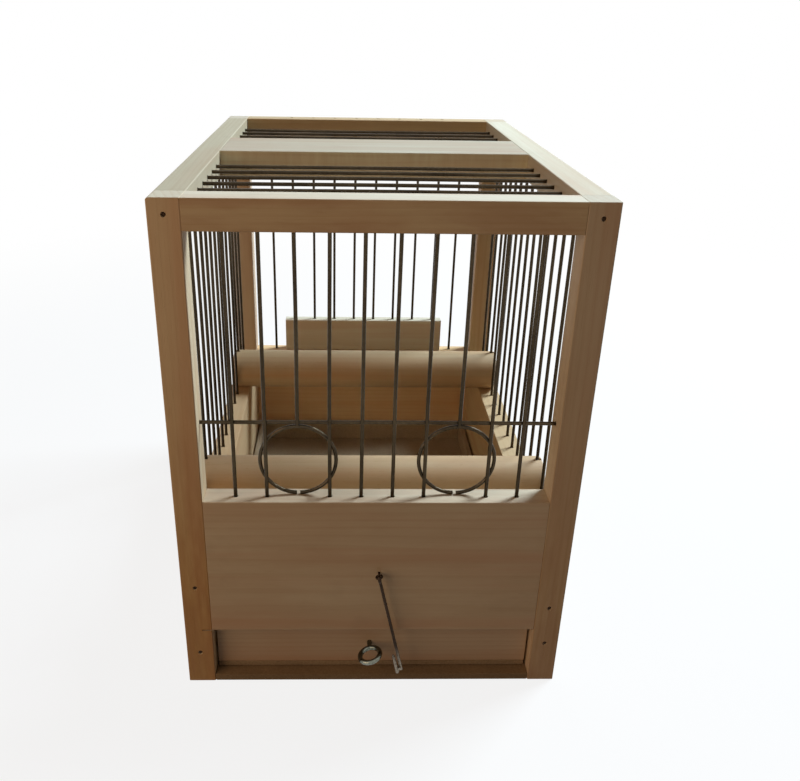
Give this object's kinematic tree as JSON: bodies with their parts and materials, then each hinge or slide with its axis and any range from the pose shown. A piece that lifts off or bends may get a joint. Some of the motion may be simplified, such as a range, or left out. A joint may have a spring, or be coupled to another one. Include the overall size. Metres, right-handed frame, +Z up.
{
  "type": "songbird cage",
  "caption": "Small wooden songbird cage: square stick frame with steel wire walls and roof, feeder rings, perches, a lifting rear gate and a drawer with a hook.",
  "frame": {"origin": "middle of the footprint, on the surface that the cage stands on", "axes": "+Z up, +Y from the drawer front to the rear gate, +X to the right as seen from the front"},
  "size_m": [0.16, 0.2344, 0.211],
  "materials": {
    "pale_wood": "sawn and sanded, bare",
    "perch_wood": "turned, bare",
    "hardboard": "pressed fibre panel",
    "steel_wire": "drawn wire, dull grey",
    "nail_steel": "dark steel",
    "hook_steel": "bent wire",
    "bright_zinc": "bright zinc plate"
  },
  "bodies": {
    "cage": {"front_left_post": "pale_wood", "front_right_post": "pale_wood", "rear_left_post": "pale_wood", "rear_right_post": "pale_wood", "front_top_rail": "pale_wood", "rear_top_rail": "pale_wood", "left_top_rail": "pale_wood", "right_top_rail": "pale_wood", "roof_cross_board": "pale_wood", "front_board": "pale_wood", "left_side_board": "pale_wood", "right_side_board": "pale_wood", "rear_board": "pale_wood", "front_perch": "perch_wood", "rear_perch": "perch_wood", "base_panel": "hardboard", "front_wires": "steel_wire", "front_short_wires": "steel_wire", "front_cross_wire": "steel_wire", "left_feeder_ring": "steel_wire", "right_feeder_ring": "steel_wire", "left_side_wires": "steel_wire", "right_side_wires": "steel_wire", "front_roof_wires": "steel_wire", "rear_roof_wires": "steel_wire", "rear_left_wire": "steel_wire", "rear_right_wire": "steel_wire", "front_left_nails": "nail_steel", "front_right_nails": "nail_steel", "rear_left_nails": "nail_steel", "rear_right_nails": "nail_steel"},
    "drawer": {"drawer_front": "pale_wood", "drawer_floor": "hardboard", "drawer_left_side": "hardboard", "drawer_right_side": "hardboard", "drawer_back": "hardboard", "pull_eye": "bright_zinc"},
    "rear_gate": {"rear_gate_slat": "pale_wood", "rear_gate_wires": "steel_wire"},
    "hook_swivel": {"hook_eye": "hook_steel"},
    "hook": {"drawer_hook": "hook_steel"}
  },
  "joints": [
    {"name": "drawer_slide", "type": "slide", "parent": "cage", "child": "drawer", "axis": [0, -1, 0], "range_m": [0, 0.13]},
    {"name": "gate_lift", "type": "slide", "parent": "cage", "child": "rear_gate", "axis": [0, 0, 1], "range_m": [0, 0.1]},
    {"name": "hook_swing", "type": "hinge", "parent": "cage", "child": "hook_swivel", "pos_m": [0.0016, -0.117, 0.058], "axis": [0, -1, 0], "range_deg": [-4, 75]},
    {"name": "hook_lift", "type": "hinge", "parent": "hook_swivel", "child": "hook", "pos_m": [0.0016, -0.117, 0.058], "axis": [-0.9763, 0, -0.2164], "range_deg": [0, 170]}
  ],
  "couplings": [
    {"joint": "hook_lift", "follows": "drawer_slide", "rad_per_m": 22.7}
  ]
}
